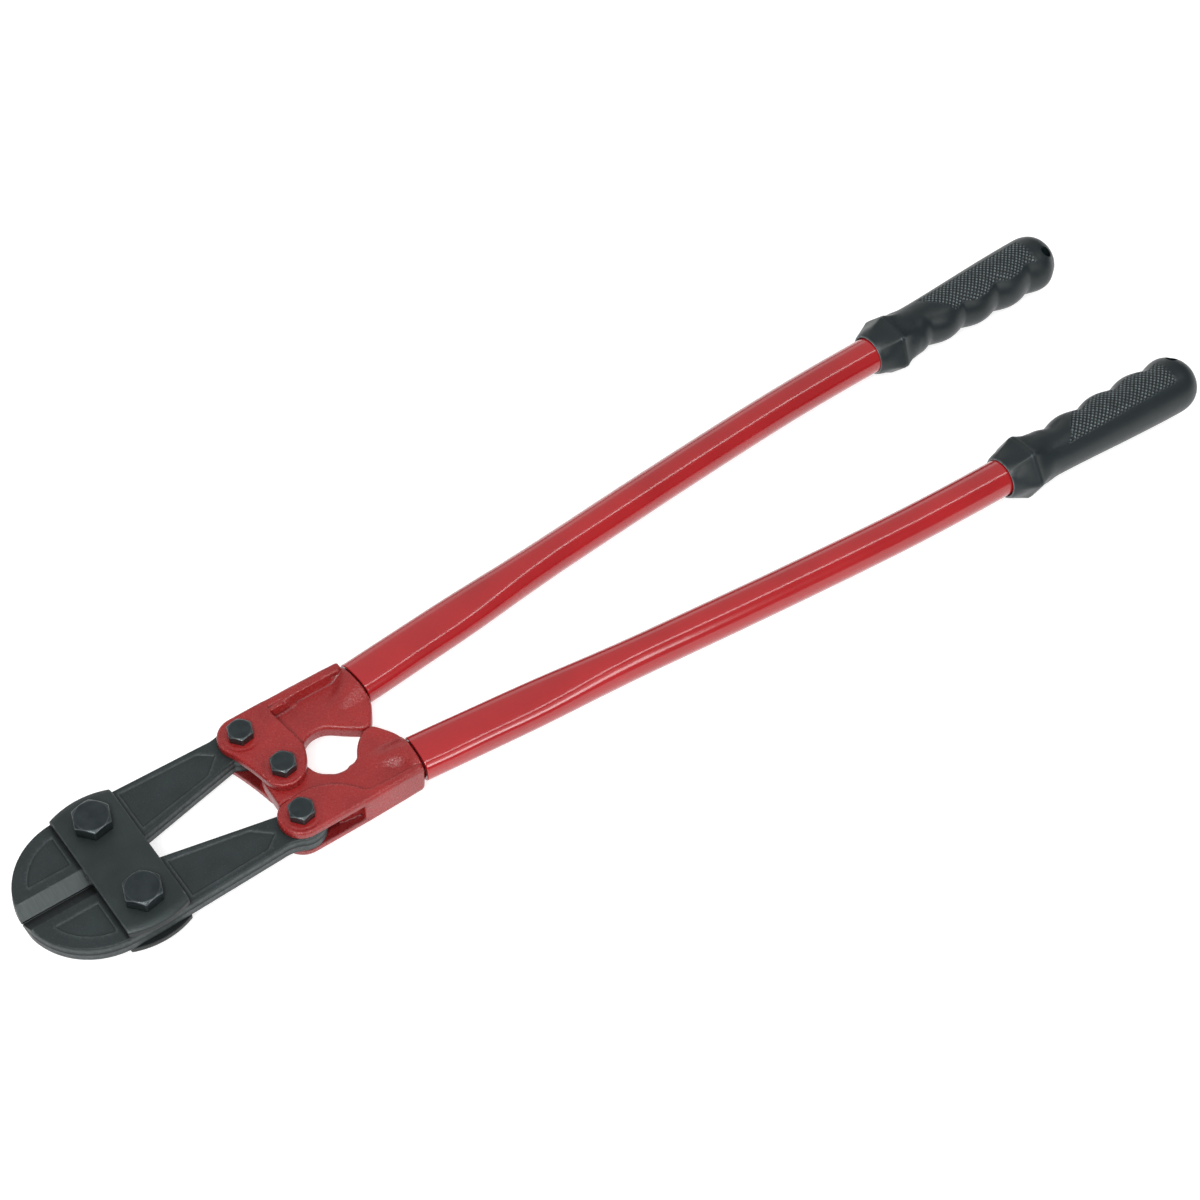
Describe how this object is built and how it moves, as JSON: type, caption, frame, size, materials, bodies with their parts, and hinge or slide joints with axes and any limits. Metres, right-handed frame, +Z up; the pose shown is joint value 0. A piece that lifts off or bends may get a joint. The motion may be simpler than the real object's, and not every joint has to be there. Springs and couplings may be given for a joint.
{
  "type": "bolt cutters",
  "caption": "Long-handled bolt cutters with compound-lever jaws, forged red handle heads, bent tubular arms and moulded rubber grips with finger grooves.",
  "frame": {"origin": "on the surface the tool rests on, under the middle of its length and width, with the tool lying flat and closed", "axes": "+X along the tool from the jaws to the grips, +Y towards the upper handle, +Z up, parallel to every pivot bolt"},
  "size_m": [0.75, 0.16, 0.0369],
  "materials": {
    "jaw_steel": "satin black forged tool steel with a ground bevel",
    "strap_steel": "satin black oxide plate",
    "black_oxide": "black oxide, satin",
    "head_paint": "red enamel over a forged surface, satin",
    "tube_paint": "red gloss enamel",
    "grip_rubber": "moulded, matt, with a diamond knurl"
  },
  "bodies": {
    "front_strap": {"top_strap": "strap_steel", "bottom_strap": "strap_steel", "jaw_bolt_upper": "black_oxide", "jaw_bolt_lower": "black_oxide", "jaw_washer_upper": "black_oxide", "jaw_washer_lower": "black_oxide", "jaw_nut_upper": "black_oxide", "jaw_nut_lower": "black_oxide"},
    "upper_jaw": {"upper_jaw": "jaw_steel"},
    "lower_jaw": {"lower_jaw": "jaw_steel"},
    "upper_handle": {"upper_head": "head_paint", "upper_tube": "tube_paint", "upper_grip": "grip_rubber", "rear_bolt_upper": "black_oxide", "rear_washer_upper": "black_oxide", "rear_nut_upper": "black_oxide", "centre_bolt": "black_oxide", "centre_washer": "black_oxide", "centre_nut": "black_oxide"},
    "lower_handle": {"lower_head": "head_paint", "lower_tube": "tube_paint", "lower_grip": "grip_rubber", "rear_bolt_lower": "black_oxide", "rear_washer_lower": "black_oxide", "rear_nut_lower": "black_oxide"}
  },
  "joints": [
    {"name": "upper_jaw_pivot", "type": "hinge", "parent": "front_strap", "child": "upper_jaw", "pos_m": [-0.319, 0.0256, 0.0185], "axis": [0, 0, 1], "range_deg": [-10, 0]},
    {"name": "lower_jaw_pivot", "type": "hinge", "parent": "front_strap", "child": "lower_jaw", "pos_m": [-0.319, -0.0256, 0.0185], "axis": [0, 0, 1], "range_deg": [0, 10]},
    {"name": "upper_handle_swing", "type": "hinge", "parent": "upper_jaw", "child": "upper_handle", "pos_m": [-0.2292, 0.0299, 0.0185], "axis": [0, 0, 1], "range_deg": [0, 58]},
    {"name": "lower_handle_swing", "type": "hinge", "parent": "lower_jaw", "child": "lower_handle", "pos_m": [-0.2292, -0.0299, 0.0185], "axis": [0, 0, 1], "range_deg": [-58, 0]}
  ],
  "couplings": [
    {"joint": "upper_jaw_pivot", "follows": "upper_handle_swing", "ratio": -0.17241},
    {"joint": "lower_jaw_pivot", "follows": "upper_handle_swing", "ratio": 0.17241},
    {"joint": "lower_handle_swing", "follows": "upper_handle_swing", "ratio": -1}
  ]
}
